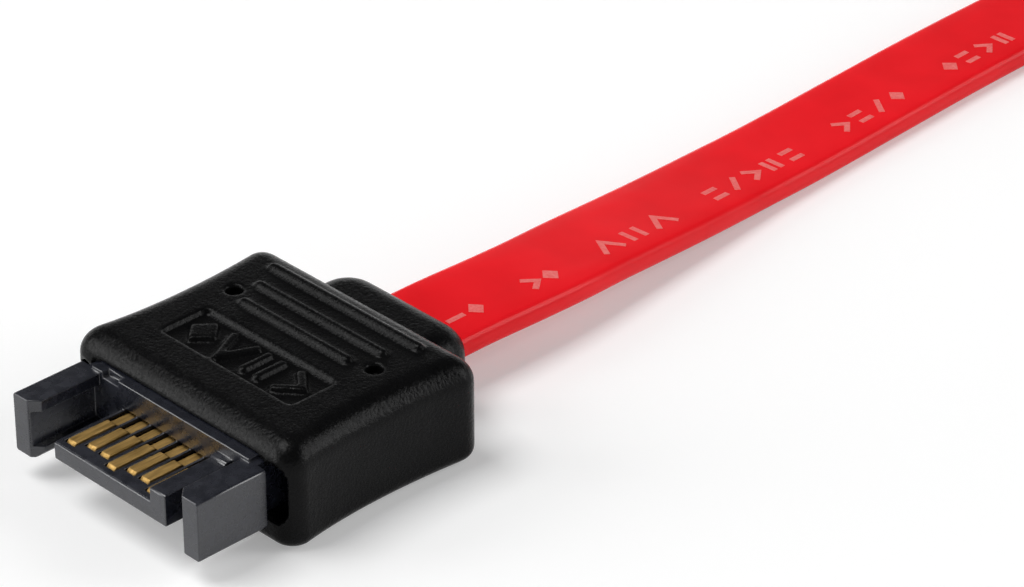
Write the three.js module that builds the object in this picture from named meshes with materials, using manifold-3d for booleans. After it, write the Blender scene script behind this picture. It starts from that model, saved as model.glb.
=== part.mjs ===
// Serial ATA extension cable: a plug on one end, a receptacle on the other, and a flat cable between them.
// Millimetres, +Z up. Both connectors point along -Y and the cable leaves them along +Y.
// The origin is on the ground under the middle of the plug.
import * as THREE from "three";
import { mergeVertices } from "three/addons/utils/BufferGeometryUtils.js";
import Module from "manifold-3d";

const wasm = await Module();
wasm.setup();

// Contacts, the same in both connectors
const contactCount = 7;
const contactPitch = 1.27;
const contactWidth = 0.8;
const stripThickness = 0.25;
const contactTipSet = 0.62; // from the tongue's front edge to a long contact
const shortContactSet = 0.55; // how much further back the short contacts start
const longContacts = [0, 3, 6];
const padThickness = 0.5; // the raised part that wipes against the other connector
const padLength = 3.3;
const padProud = 0.05; // above the tongue's top face
const solderTailLength = 2.6;
const contactBendSet = 0.5; // behind the cover's front face

// Tongue of the plug
const tongueWidth = 10.6;
const tongueThickness = 1.23;
const tongueMargin = 0.8; // from the first contact's middle to the tongue's side
const keyWidth = 1.45;
const keyHeight = 2.2; // from the tongue's underside
const tongueUnderside = 3.0; // above the ground
const tongueReach = 6.1; // in front of the cover
const tongueChamfer = 0.12;

// Guide arms and rear block of the plug's insulator
const armSpan = 17.54; // over both arms
const armWall = 1.5;
const armHeight = 4.2;
const armUnderside = 1.65;
const armSetback = 0.2; // behind the tongue's front edge
const flangeThickness = 0.85;
const flangeReach = 0.55; // past the inside of the arm's wall
const flangeCornerCut = 0.65;
const armChamfer = 0.12;
const armRootFront = 0.4; // in front of the cover, where the arm's outer side steps in
const armRootStep = 0.75;
const armDepth = 3.4; // behind the cover's front face
const armLap = 0.2; // how far the block reaches into an arm's wall
const blockForward = 0.65; // the block's front wall, in front of the cover
const blockUnderside = 1.4;
const blockTop = 6.1;
const blockDepth = 5.8; // behind the cover's front face
const grooveWidth = 1.0;
const keyFootHeight = 0.16;
const keyFootLength = 0.5;
const notchWidth = 1.5;
const notchDepth = 0.55;
const notchHeight = 0.45;
const notchInset = 0.85; // from the inside of the left arm's wall

// Receptacle's insulator
const noseReach = 5.0; // in front of the cover
const noseClearance = 0.17; // to the inside of the guide arms, each side
const slotClearance = 0.1; // round the tongue
const slotExtraDepth = 0.25;
const railHeight = 2.2;
const noseHeight = 4.3;
const beamDip = 0.62; // how far the spring contact comes down towards the tongue
const beamBumpSet = 1.9; // from the nose's front to the lowest point of the spring
const beamTipSet = 0.7;
const beamTipRise = 0.3; // of its front end above the lowest point
const beamBumpHalf = 0.45; // half the length of the rounded low part
const beamBumpRise = 0.055;
const beamHeelSet = 0.3; // in front of the slot's end
const beamHeelLength = 1; // behind it
const beamDropLength = 1.2; // from the heel down to the tail
const springGrooveHeight = 0.75;

// Cover, the same mould for both ends
const coverFrontHalf = 10.35;
const coverWaistHalf = 9.87;
const coverRearHalf = 10.3;
const coverLength = 16.2;
const coverHeight = 7.4;
const coverTopRound = 1.75;
const coverBottomRound = 0.9;
const coverFrontCorner = 1.4;
const coverRearCorner = 1.3;
const cornerShare = 0.6; // how much of an edge's round its corners lose in plan
const waistStart = 0.32; // of the cover's length
const waistEnd = 0.62;
const bossHalf = 6.1;
const bossLength = 3.7;
const bossCorner = 2.2;
const bossUnderside = 0.3;
const bossTop = 6.05;
const bossEdgeRound = 1.4;
const bossLap = 2.0; // how far the boss reaches into the cover
const ribHalves = [5.25, 6.15, 7.2];
const ribFirst = 9.8; // from the cover's front face
const ribPitch = 2.1;
const ribWidth = 0.8;
const ribHeight = 0.38;
const ribRoot = 0.2; // below the cover's top
const dimpleSpacing = 13.2;
const dimpleSet = 10.45;
const dimpleRadius = 0.58;
const dimpleDepth = 0.8;
const panelWidth = 12.2;
const panelFront = 3.95;
const panelLength = 3.8;
const panelDepth = 0.4;
const panelCorner = 0.35;
const pocketWidth = 0.9; // beside an arm's outer side
const pocketDepth = 2.2;
const pocketUnderside = 1.85;
const pocketTop = 5.95;
const pocketCorner = 0.75;

// Inner mould and wire ends
const innerMouldWidth = 12.6;
const innerMouldHeight = 3.9;
const innerMouldLength = 6.5;
const channelWidth = 0.95;
const coreRadius = 0.3;
const drainRadius = 0.22;
const channelClearance = 0.06;

// Flat cable
const cableWidth = 7.8;
const cableThickness = 1.65;
const cableEdgeRound = 0.55;
const cableAxisHeight = 3.1; // where it leaves the cover
const jacketInsert = 7.5; // inside the cover, behind the inner mould
const holeClearance = 0.05;

// Fits
const fitGap = 0.05; // between moulded pieces that meet
const restGap = 0.3; // between the cable's lengths and what they lie against
const past = 1; // how far a cutting shape runs past what it cuts

// Folded spare length and its tie
const hankFront = 122;
const hankFold = 196; // the middle of the end loop
const loopRadius = 11.5; // of the cable's middle line
const loopEase = 20; // how far the loop's pull reaches along the upper run
const tieEase = 30; // and the tie's
const lowRunEase = 15; // from the tie to where the lower run lies flat
const endEase = 0.1; // how far the runs have risen or sunk where the folded length begins
const tieFront = 130.5;
const tieWidth = 3;
const tieThickness = 0.6;
const tieTwistLength = 11;
const tieTwistWidth = 2.2;
const tieTwistThickness = 1.1;
const tieTwists = 1.5;
const tieTwistLean = 1.35; // radians, from upright towards the loop
const tieTwistLap = 0.4; // how far the twist reaches into the band
const tieTwistRise = 0.3; // of its foot's middle, above the band
const tieBandCorner = 1.2;

// Where the receptacle lies, on the first run of the cable
const receptacleX = -3.6;
const receptacleFront = 99; // its cover's front face
const receptacleClearance = 0.06; // above the first run

// The cable's way from the plug to the folded length, chosen by hand: over, along, up
const leadRoute = [
  [0, 10, 3.1],
  [0, 13, 3.1],
  [0, 16.5, 3.09],
  [0, 21, 2.92],
  [-0.2, 25, 2.66],
  [-0.6, 29, 2.34],
  [-0.95, 33, 1.99],
  [-1.3, 37, 1.65],
  [-1.68, 41, 1.34],
  [-2.05, 45, 1.08],
  [-2.3, 49, 0.92],
  [-2.55, 53, 0.84],
  [-3, 61, 0.83],
  [-3.4, 69, 0.83],
  [-3.6, 77, 0.83],
  [-3.65, 85.5, 0.83],
  [-3.6, 95, 0.83],
  [-3.6, 106, 0.83],
  [-3.6, 118, 0.85],
];

// Solids

// A closed geometry as a manifold solid: only positions matter, with shared corners merged
function solidOf(geometry) {
  const bare = geometry.clone();
  bare.deleteAttribute("normal");
  bare.deleteAttribute("uv");
  const merged = mergeVertices(bare, 1e-4);
  const mesh = new wasm.Mesh({
    numProp: 3,
    vertProperties: new Float32Array(merged.attributes.position.array),
    triVerts: new Uint32Array(merged.index.array),
  });
  return new wasm.Manifold(mesh);
}

function geometryOf(solid) {
  const mesh = solid.getMesh();
  const geometry = new THREE.BufferGeometry();
  geometry.setAttribute("position", new THREE.BufferAttribute(mesh.vertProperties, 3));
  geometry.setIndex(new THREE.BufferAttribute(mesh.triVerts, 1));
  geometry.computeVertexNormals();
  return geometry;
}

const joined = (first, ...others) => others.reduce((all, one) => all.add(one), first);
const cut = (whole, ...tools) => tools.reduce((left, tool) => left.subtract(tool), whole);

// A block between two corners
function block([x0, x1], [y0, y1], [z0, z1]) {
  const geometry = new THREE.BoxGeometry(x1 - x0, y1 - y0, z1 - z0);
  geometry.translate((x0 + x1) / 2, (y0 + y1) / 2, (z0 + z1) / 2);
  return solidOf(geometry);
}

function outline(points) {
  return new THREE.Shape(points.map(([u, v]) => new THREE.Vector2(u, v)));
}

// A front view outline (x, z) drawn out along Y
function alongY(shape, [y0, y1], curveSegments = 4) {
  const geometry = new THREE.ExtrudeGeometry(shape, { depth: y1 - y0, bevelEnabled: false, curveSegments });
  geometry.rotateX(Math.PI / 2);
  geometry.translate(0, y1, 0);
  return solidOf(geometry);
}

// A side view outline (y, z) drawn out along X
function alongX(shape, [x0, x1], curveSegments = 6) {
  const geometry = new THREE.ExtrudeGeometry(shape, { depth: x1 - x0, bevelEnabled: false, curveSegments });
  const turn = new THREE.Matrix4().makeBasis(
    new THREE.Vector3(0, 1, 0),
    new THREE.Vector3(0, 0, 1),
    new THREE.Vector3(1, 0, 0),
  );
  geometry.applyMatrix4(turn);
  geometry.translate(x0, 0, 0);
  return solidOf(geometry);
}

// A plan outline (x, y) standing up
function standing(shape, [z0, z1], curveSegments = 3) {
  const geometry = new THREE.ExtrudeGeometry(shape, { depth: z1 - z0, bevelEnabled: false, curveSegments });
  geometry.translate(0, 0, z0);
  return solidOf(geometry);
}

// A body through level rings, from the lowest up: each a list of (x, y), anticlockwise seen from above
function loft(levels) {
  const count = levels[0].plan.length;
  const positions = levels.flatMap(({ plan, z }) => plan.flatMap(([x, y]) => [x, y, z]));
  const index = [];
  for (let level = 0; level < levels.length - 1; level++) {
    for (let i = 0; i < count; i++) {
      const a = level * count + i;
      const b = level * count + ((i + 1) % count);
      index.push(a, b, b + count, a, b + count, a + count);
    }
  }
  const capOf = (plan) => {
    const points = plan.map(([x, y]) => new THREE.Vector2(x, y));
    return THREE.ShapeUtils.triangulateShape(points, []);
  };
  const last = (levels.length - 1) * count;
  capOf(levels[0].plan).forEach(([a, b, c]) => index.push(c, b, a));
  capOf(levels.at(-1).plan).forEach(([a, b, c]) => index.push(last + a, last + b, last + c));
  const geometry = new THREE.BufferGeometry();
  geometry.setAttribute("position", new THREE.Float32BufferAttribute(positions, 3));
  geometry.setIndex(index);
  return solidOf(geometry);
}

// Levels for a body with rounded top and bottom edges: planOf gives the plan for an inset
function roundedLevels(planOf, [z0, z1], [lowRound, highRound], steps = 5) {
  const turns = Array.from({ length: steps + 1 }, (_, i) => ((i / steps) * Math.PI) / 2);
  const low = turns.map((turn) => ({
    plan: planOf(lowRound * (1 - Math.sin(turn))),
    z: z0 + lowRound * (1 - Math.cos(turn)),
  }));
  const high = turns.map((turn) => ({
    plan: planOf(highRound * (1 - Math.cos(turn))),
    z: z1 - highRound * (1 - Math.sin(turn)),
  }));
  return [...low, ...high];
}

// Points round a corner of a plan, from one direction to the next, a quarter turn on
function cornerPoints([x, y], radius, quarter, steps = 5) {
  return Array.from({ length: steps + 1 }, (_, i) => {
    const turn = ((quarter + i / steps) * Math.PI) / 2;
    return [x + radius * Math.cos(turn), y + radius * Math.sin(turn)];
  });
}

function roundedBar(width, height, corner, [centreU, centreV] = [0, 0]) {
  const u = centreU - width / 2;
  const v = centreV - height / 2;
  const shape = new THREE.Shape();
  shape.moveTo(u + corner, v);
  shape.lineTo(u + width - corner, v);
  shape.absarc(u + width - corner, v + corner, corner, -Math.PI / 2, 0);
  shape.lineTo(u + width, v + height - corner);
  shape.absarc(u + width - corner, v + height - corner, corner, 0, Math.PI / 2);
  shape.lineTo(u + corner, v + height);
  shape.absarc(u + corner, v + height - corner, corner, Math.PI / 2, Math.PI);
  shape.lineTo(u, v + corner);
  shape.absarc(u + corner, v + corner, corner, Math.PI, 1.5 * Math.PI);
  return shape;
}

// A bent metal strip in side view: the way of its middle line, given a thickness
function stripOutline(way, thickness) {
  const offset = (side) =>
    way.map(([y, z], i) => {
      const [y0, z0] = way[Math.max(i - 1, 0)];
      const [y1, z1] = way[Math.min(i + 1, way.length - 1)];
      const long = Math.hypot(y1 - y0, z1 - z0);
      const out = (side * thickness) / (2 * long);
      return [y - out * (z1 - z0), z + out * (y1 - y0)];
    });
  return outline([...offset(-1), ...offset(1).reverse()]);
}

// Places that both connectors share
const contactXs = Array.from({ length: contactCount }, (_, i) => (i - (contactCount - 1) / 2) * contactPitch);
const tongueLeft = contactXs[0] - tongueMargin;
const tongueRight = tongueLeft + tongueWidth;
const tongueTop = tongueUnderside + tongueThickness;
const padTop = tongueTop + padProud;
const grooveFloor = padTop - padThickness;
const tailTop = cableAxisHeight - coreRadius - fitGap;
const tailUnderside = tailTop - stripThickness;
const coverMiddle = coverHeight / 2;
const innerMouldFront = blockDepth + fitGap;
const innerMouldRear = innerMouldFront + innerMouldLength;
const jacketFront = coverLength + bossLength - jacketInsert;
const tailRear = blockDepth + solderTailLength;

const symmetric = (half) => [-half, half];
const around = (middle, width) => [middle - width / 2, middle + width / 2];

// Materials
const finish = (color, roughness, metalness = 0) =>
  new THREE.MeshStandardMaterial({ color, roughness, metalness, flatShading: true });
const finishes = {
  cover: () => finish(0x161617, 0.42),
  insulator: () => finish(0x23252b, 0.25),
  gold: () => finish(0xd9a441, 0.25, 1),
  cable: () => finish(0xe01b22, 0.35),
  innerMould: () => finish(0xd9d6c8, 0.5),
  core: () => finish(0xc8c9cc, 0.4),
  drain: () => finish(0xc5c3bd, 0.35, 1),
  tie: () => finish(0x1c1c1e, 0.5),
};

function piece(name, solid, material) {
  const mesh = new THREE.Mesh(geometryOf(solid), material);
  mesh.name = name;
  return mesh;
}

// Plug insulator

const armHalf = armSpan / 2;
const armFront = -tongueReach + armSetback;
const armTop = armUnderside + armHeight;
const armInside = armHalf - armWall;
const rootHalf = armHalf - armRootStep;

function guideArm(side) {
  const tip = armInside - flangeReach;
  const lowInside = armUnderside + flangeThickness;
  const highInside = armTop - flangeThickness;
  const profile = [
    [armHalf - armChamfer, armUnderside],
    [armHalf, armUnderside + armChamfer],
    [armHalf, armTop - armChamfer],
    [armHalf - armChamfer, armTop],
    [tip, armTop],
    [tip, highInside],
    [armInside, highInside],
    [armInside, lowInside],
    [tip, lowInside],
    [tip, armUnderside + flangeThickness / 2],
    [tip + flangeThickness / 2, armUnderside],
  ].map(([x, z]) => [side * x, z]);
  const arm = alongY(outline(profile), [armFront, armDepth]);
  const cornerCut = outline([
    [side * (tip - past), armFront - past],
    [side * (tip + flangeCornerCut), armFront - past],
    [side * (tip + flangeCornerCut), armFront],
    [side * tip, armFront + flangeCornerCut],
    [side * (tip - past), armFront + flangeCornerCut],
  ]);
  const rootCut = outline([
    [side * rootHalf, -armRootFront],
    [side * (armHalf + past), -armRootFront],
    [side * (armHalf + past), armDepth + past],
    [side * rootHalf, armDepth + past],
  ]);
  const levels = [armUnderside - past, armTop + past];
  return cut(arm, standing(cornerCut, levels), standing(rootCut, levels));
}

function tongue() {
  const front = -tongueReach;
  const side = [
    [front, tongueUnderside],
    [0, tongueUnderside],
    [0, tongueTop],
    [front + tongueChamfer, tongueTop],
    [front, tongueTop - tongueChamfer],
  ];
  const keyTop = tongueUnderside + keyHeight;
  const keySide = [
    [front, tongueUnderside],
    [0, tongueUnderside],
    [0, keyTop + keyFootHeight],
    [-blockForward - keyFootLength, keyTop + keyFootHeight],
    [-blockForward - keyFootLength - keyFootHeight, keyTop],
    [front + tongueChamfer, keyTop],
    [front, keyTop - tongueChamfer],
  ];
  return joined(
    alongX(outline(side), [tongueLeft, tongueRight]),
    alongX(outline(keySide), [tongueRight - keyWidth, tongueRight]),
  );
}

function plugContactTip(i) {
  return -tongueReach + contactTipSet + (longContacts.includes(i) ? 0 : shortContactSet);
}

function plugInsulator() {
  const body = joined(
    block(symmetric(armInside + armLap), [-blockForward, blockDepth], [blockUnderside, blockTop]),
    tongue(),
    guideArm(-1),
    guideArm(1),
  );
  const rear = blockDepth + past;
  const grooveTop = tongueTop + fitGap;
  const cuts = contactXs.flatMap((x, i) => [
    // Along the tongue, open at the top, then through the front wall and the block
    block(around(x, grooveWidth), [plugContactTip(i) - fitGap, -blockForward], [grooveFloor, grooveTop]),
    block(around(x, grooveWidth), [-blockForward - fitGap, rear], [grooveFloor, grooveTop]),
    // Down to where the contact's tail meets its wire
    block(around(x, grooveWidth), [0, rear], [tailUnderside - fitGap, tongueTop]),
  ]);
  const notchLeft = -armInside + notchInset;
  const notch = block(
    [notchLeft, notchLeft + notchWidth],
    [-blockForward - past, -blockForward + notchDepth],
    [blockTop - notchHeight, blockTop + past],
  );
  return cut(body, ...cuts, notch);
}

function plugContact(i) {
  const tip = plugContactTip(i);
  const padEnd = tip + padLength - (longContacts.includes(i) ? 0 : shortContactSet);
  const step = padThickness - stripThickness;
  const bendEnd = contactBendSet + (grooveFloor - tailUnderside);
  const side = outline([
    [tip, grooveFloor],
    [contactBendSet, grooveFloor],
    [bendEnd, tailUnderside],
    [tailRear, tailUnderside],
    [tailRear, tailTop],
    [bendEnd + stripThickness / 2, tailTop],
    [contactBendSet + stripThickness / 2, grooveFloor + stripThickness],
    [padEnd + step, grooveFloor + stripThickness],
    [padEnd, padTop],
    [tip + step, padTop],
    [tip, padTop - step],
  ]);
  return alongX(side, around(contactXs[i], contactWidth));
}

// Receptacle insulator. Seen from its own front, the key's slot is on the other side.

const noseHalf = armInside - noseClearance;
const noseUnderside = coverMiddle - noseHeight / 2;
const noseTop = coverMiddle + noseHeight / 2;
const slotTop = tongueTop + slotClearance;
const slotUnderside = tongueUnderside - slotClearance;
const slotEnd = -noseReach + (tongueReach - blockForward) + slotExtraDepth;
const springCeiling = slotTop + springGrooveHeight;

function receptacleInsulator() {
  const shoulder = noseHalf - (flangeReach + noseClearance);
  const railLow = coverMiddle - railHeight / 2;
  const railHigh = coverMiddle + railHeight / 2;
  const front = outline([
    [-shoulder, noseUnderside],
    [shoulder, noseUnderside],
    [shoulder, railLow],
    [noseHalf, railLow],
    [noseHalf, railHigh],
    [shoulder, railHigh],
    [shoulder, noseTop],
    [-shoulder, noseTop],
    [-shoulder, railHigh],
    [-noseHalf, railHigh],
    [-noseHalf, railLow],
    [-shoulder, railLow],
  ]);
  const body = joined(
    alongY(front, [-noseReach, fitGap]),
    block(symmetric(noseHalf), [0, blockDepth], [noseUnderside, noseTop]),
  );
  const slotLeft = -tongueRight - slotClearance;
  const slotRight = -tongueLeft + slotClearance;
  const keySlotTop = tongueUnderside + keyHeight + slotClearance;
  const slot = block([slotLeft, slotRight], [-noseReach - past, slotEnd], [slotUnderside, slotTop]);
  const keySlot = block(
    [slotLeft, slotLeft + keyWidth + 2 * slotClearance],
    [-noseReach - past, slotEnd],
    [slotUnderside, keySlotTop],
  );
  const channelFront = -noseReach + beamTipSet - fitGap;
  const channelRear = blockDepth + past;
  const channels = contactXs.flatMap((x) => [
    block(around(x, grooveWidth), [channelFront, slotEnd], [slotTop - fitGap, springCeiling]),
    block(around(x, grooveWidth), [slotEnd - fitGap, channelRear], [tailUnderside - fitGap, springCeiling]),
  ]);
  return cut(body, slot, keySlot, ...channels);
}

function receptacleContact(i) {
  const beamTop = springCeiling - stripThickness / 2 - fitGap;
  const bumpHeight = beamTop - beamDip;
  const tail = tailTop - stripThickness / 2;
  const way = [
    [-noseReach + beamTipSet, bumpHeight + beamTipRise],
    [-noseReach + beamBumpSet - beamBumpHalf, bumpHeight + beamBumpRise],
    [-noseReach + beamBumpSet, bumpHeight],
    [-noseReach + beamBumpSet + beamBumpHalf, bumpHeight + beamBumpRise],
    [slotEnd - beamHeelSet, beamTop],
    [slotEnd + beamHeelLength, beamTop],
    [slotEnd + beamHeelLength + beamDropLength / 2, (beamTop + tail) / 2],
    [slotEnd + beamHeelLength + beamDropLength, tail],
    [tailRear, tail],
  ];
  return alongX(stripOutline(way, stripThickness), around(contactXs[i], contactWidth));
}

// Covers

// Its plan at an inset from the full outline: rounded corners, and sides drawn in at a waist
function coverPlan(inset) {
  const frontHalf = coverFrontHalf - inset;
  const rearHalf = coverRearHalf - inset;
  const waistHalf = coverWaistHalf - inset;
  const rear = coverLength - inset;
  const frontCorner = coverFrontCorner - cornerShare * inset;
  const rearCorner = coverRearCorner - cornerShare * inset;
  const pull = (8 * waistHalf - frontHalf - rearHalf) / 6;
  const side = new THREE.CubicBezierCurve(
    new THREE.Vector2(frontHalf, inset + frontCorner),
    new THREE.Vector2(pull, coverLength * waistStart),
    new THREE.Vector2(pull, coverLength * waistEnd),
    new THREE.Vector2(rearHalf, rear - rearCorner),
  );
  const right = side.getPoints(8).slice(1, -1).map(({ x, y }) => [x, y]);
  const left = right.map(([x, y]) => [-x, y]).reverse();
  return [
    ...cornerPoints([frontHalf - frontCorner, inset + frontCorner], frontCorner, 3),
    ...right,
    ...cornerPoints([rearHalf - rearCorner, rear - rearCorner], rearCorner, 0),
    ...cornerPoints([-rearHalf + rearCorner, rear - rearCorner], rearCorner, 1),
    ...left,
    ...cornerPoints([-frontHalf + frontCorner, inset + frontCorner], frontCorner, 2),
  ];
}

function bossPlan(inset) {
  const half = bossHalf - inset;
  const front = coverLength - bossLap;
  const rear = coverLength + bossLength - inset;
  const corner = bossCorner - cornerShare * inset;
  return [
    [half, front],
    ...cornerPoints([half - corner, rear - corner], corner, 0),
    ...cornerPoints([-half + corner, rear - corner], corner, 1),
    [-half, front],
  ];
}

// A half-round bar lying across the cover's top, with round ends
function rib(i) {
  const half = ribWidth / 2;
  const y = ribFirst + i * ribPitch;
  const planOf = (inset) => {
    const radius = half - inset;
    const x = ribHalves[i] - half;
    return [
      ...cornerPoints([x, y], radius, 3, 3),
      ...cornerPoints([x, y], radius, 0, 3).slice(1),
      ...cornerPoints([-x, y], radius, 1, 3),
      ...cornerPoints([-x, y], radius, 2, 3).slice(1),
    ];
  };
  const turns = [0, 0.45, 0.9, 1.3];
  const levels = turns.map((turn) => ({
    plan: planOf(half * (1 - Math.cos(turn))),
    z: coverHeight + (ribHeight * Math.sin(turn)) / Math.sin(turns.at(-1)),
  }));
  return loft([{ plan: planOf(0), z: coverHeight - ribRoot }, ...levels]);
}

function dimple(side) {
  const drill = new THREE.CylinderGeometry(dimpleRadius, dimpleRadius, 2 * dimpleDepth, 16);
  drill.rotateX(Math.PI / 2);
  drill.translate((side * dimpleSpacing) / 2, dimpleSet, coverHeight);
  return solidOf(drill);
}

function coverBody() {
  return joined(
    loft(roundedLevels(coverPlan, [0, coverHeight], [coverBottomRound, coverTopRound])),
    loft(roundedLevels(bossPlan, [bossUnderside, bossTop], [bossEdgeRound, bossEdgeRound], 4)),
    ...ribHalves.map((_, i) => rib(i)),
  );
}

// What the cover is moulded round: the insulator's block, the inner mould and the cable
function coverHollow(half, [underside, top]) {
  const hole = roundedBar(
    cableWidth + 2 * holeClearance,
    cableThickness + 2 * holeClearance,
    cableEdgeRound,
    [0, cableAxisHeight],
  );
  const mouldRoom = innerMouldHeight / 2 + fitGap;
  return joined(
    block(symmetric(half + fitGap), [-past, blockDepth + fitGap], [underside - fitGap, top + fitGap]),
    block(
      symmetric(innerMouldWidth / 2 + fitGap),
      [blockDepth, innerMouldRear + fitGap],
      [cableAxisHeight - mouldRoom, cableAxisHeight + mouldRoom],
    ),
    alongY(hole, [innerMouldRear, coverLength + bossLength + past]),
  );
}

function plugCover() {
  const panel = roundedBar(panelWidth, panelLength, panelCorner, [0, panelFront + panelLength / 2]);
  const armRoom = block(
    symmetric(rootHalf + fitGap),
    [-past, armDepth + fitGap],
    [armUnderside - fitGap, armTop + fitGap],
  );
  const pocketOutside = armHalf + pocketWidth;
  const pocket = (side) => {
    const middle = [(side * (rootHalf + pocketOutside)) / 2, (pocketUnderside + pocketTop) / 2];
    const bar = roundedBar(pocketOutside - rootHalf, pocketTop - pocketUnderside, pocketCorner, middle);
    return alongY(bar, [-past, pocketDepth]);
  };
  return cut(
    coverBody(),
    coverHollow(armInside + armLap, [blockUnderside, blockTop]),
    armRoom,
    standing(panel, [coverHeight - panelDepth, coverHeight + past]),
    pocket(-1),
    pocket(1),
    dimple(-1),
    dimple(1),
  );
}

function receptacleCover() {
  return cut(coverBody(), coverHollow(noseHalf, [noseUnderside, noseTop]), dimple(-1), dimple(1));
}

// Inner mould and wire ends

function innerMould() {
  const body = block(
    symmetric(innerMouldWidth / 2),
    [innerMouldFront, innerMouldRear],
    around(cableAxisHeight, innerMouldHeight),
  );
  const channels = contactXs.map((x) =>
    block(
      around(x, channelWidth),
      [innerMouldFront - past, innerMouldRear + past],
      [tailUnderside - channelClearance, cableAxisHeight + coreRadius + channelClearance],
    ),
  );
  return cut(body, ...channels);
}

function wireEnd(i) {
  const radius = longContacts.includes(i) ? drainRadius : coreRadius;
  const front = blockDepth + fitGap;
  const rear = jacketFront - fitGap;
  const wire = new THREE.CylinderGeometry(radius, radius, rear - front, 12);
  wire.translate(contactXs[i], (front + rear) / 2, tailTop + radius + fitGap);
  return solidOf(wire);
}

// Cable

// Its section, for a tube that runs along a path: the first direction is down, the second across
function cableSection() {
  const half = cableThickness / 2;
  const side = cableWidth / 2;
  const corner = cableEdgeRound;
  return outline([
    [-half + corner * 0.3, side - corner * 0.3],
    [-half, side - corner],
    [-half, -side + corner],
    [-half + corner * 0.3, -side + corner * 0.3],
    [-half + corner, -side],
    [half - corner, -side],
    [half - corner * 0.3, -side + corner * 0.3],
    [half, -side + corner],
    [half, side - corner],
    [half - corner * 0.3, side - corner * 0.3],
    [half - corner, side],
    [-half + corner, side],
  ]);
}

function cableAlong(points, steps) {
  const path = new THREE.CatmullRomCurve3(points.map(([x, y, z]) => new THREE.Vector3(x, y, z)));
  const settings = { extrudePath: path, steps, bevelEnabled: false };
  return solidOf(new THREE.ExtrudeGeometry(cableSection(), settings));
}

const plugAt = tongueReach - (tongueReach + coverLength + bossLength) / 2;
const receptacleLift = cableThickness + receptacleClearance;
const receptacleExit = receptacleFront + coverLength + bossLength;
const receptacleAxis = receptacleLift + cableAxisHeight;
const lowRun = tieThickness + restGap + cableThickness / 2;
const highRun = lowRun + cableThickness;

function cableLead() {
  const start = [0, plugAt + jacketFront, cableAxisHeight];
  const end = [receptacleX, hankFront - restGap, cableThickness / 2 + endEase];
  return cableAlong([start, ...leadRoute, end], 48);
}

function cableTail() {
  const start = [receptacleX, receptacleFront + jacketFront, receptacleAxis];
  const inside = [receptacleX, receptacleExit - bossLength, receptacleAxis];
  const exit = [receptacleX, receptacleExit, receptacleAxis];
  const end = [receptacleX, hankFront - restGap, receptacleAxis - endEase];
  return cableAlong([start, inside, exit, end], 6);
}

// The folded length as one solid: both runs and the end loop, seen from the side
function cableHank() {
  const out = loopRadius + cableThickness / 2;
  const pinch = tieFront + tieWidth / 2;
  const shape = new THREE.Shape();
  shape.moveTo(hankFront, endEase);
  shape.lineTo(pinch - tieWidth, lowRun - cableThickness / 2);
  shape.lineTo(pinch + tieWidth, lowRun - cableThickness / 2);
  shape.lineTo(pinch + lowRunEase, 0);
  shape.lineTo(hankFold, 0);
  shape.absarc(hankFold, out, out, -Math.PI / 2, Math.PI / 2);
  const highTop = highRun + cableThickness / 2;
  shape.bezierCurveTo(hankFold - loopEase, 2 * out, pinch + tieEase, highTop, pinch + tieWidth, highTop);
  shape.lineTo(pinch - tieWidth, highTop);
  shape.lineTo(hankFront, receptacleAxis - endEase + cableThickness / 2);
  return alongX(shape, around(receptacleX, cableWidth), 10);
}

// A wire tie: a flat band round both runs, with its two ends twisted together on top
function hankTie() {
  const insideWidth = cableWidth + 2 * restGap;
  const insideLow = tieThickness;
  const insideHigh = highRun + cableThickness / 2 + restGap;
  const height = insideHigh - insideLow;
  const middle = [receptacleX, (insideLow + insideHigh) / 2];
  const band = roundedBar(insideWidth + 2 * tieThickness, height + 2 * tieThickness, tieBandCorner, middle);
  const room = roundedBar(insideWidth, height, tieBandCorner - tieThickness, middle);
  const ring = cut(
    alongY(band, [tieFront, tieFront + tieWidth]),
    alongY(room, [tieFront - past, tieFront + tieWidth + past]),
  );
  const twist = new THREE.BoxGeometry(tieTwistWidth, tieTwistThickness, tieTwistLength, 2, 1, 18);
  const spots = twist.attributes.position;
  for (let i = 0; i < spots.count; i++) {
    const [x, y, z] = [spots.getX(i), spots.getY(i), spots.getZ(i)];
    const turn = (z / tieTwistLength + 0.5) * tieTwists * 2 * Math.PI;
    spots.setX(i, x * Math.cos(turn) - y * Math.sin(turn));
    spots.setY(i, x * Math.sin(turn) + y * Math.cos(turn));
  }
  twist.translate(0, 0, tieTwistLength / 2 - tieTwistLap);
  twist.rotateX(-tieTwistLean);
  twist.translate(receptacleX, tieFront + tieWidth / 2, insideHigh + tieThickness + tieTwistRise);
  return joined(ring, solidOf(twist));
}

// Assembly

function connector(end, insulator, contact, cover) {
  const group = new THREE.Group();
  group.add(piece(`${end}_insulator`, insulator(), finishes.insulator()));
  contactXs.forEach((_, i) => {
    group.add(piece(`${end}_contact_${i + 1}`, contact(i), finishes.gold()));
    const wireFinish = longContacts.includes(i) ? finishes.drain() : finishes.core();
    group.add(piece(`${end}_wire_${i + 1}`, wireEnd(i), wireFinish));
  });
  group.add(piece(`${end}_inner_mould`, innerMould(), finishes.innerMould()));
  group.add(piece(`${end}_cover`, cover(), finishes.cover()));
  return group;
}

const plug = connector("plug", plugInsulator, plugContact, plugCover);
plug.position.set(0, plugAt, 0);

const receptacle = connector("receptacle", receptacleInsulator, receptacleContact, receptacleCover);
receptacle.position.set(receptacleX, receptacleFront, receptacleLift);

const group = new THREE.Group();
group.add(
  plug,
  receptacle,
  piece("cable_lead", cableLead(), finishes.cable()),
  piece("cable_hank", cableHank(), finishes.cable()),
  piece("cable_tail", cableTail(), finishes.cable()),
  piece("hank_tie", hankTie(), finishes.tie()),
);

export default group;
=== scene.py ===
import math

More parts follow.
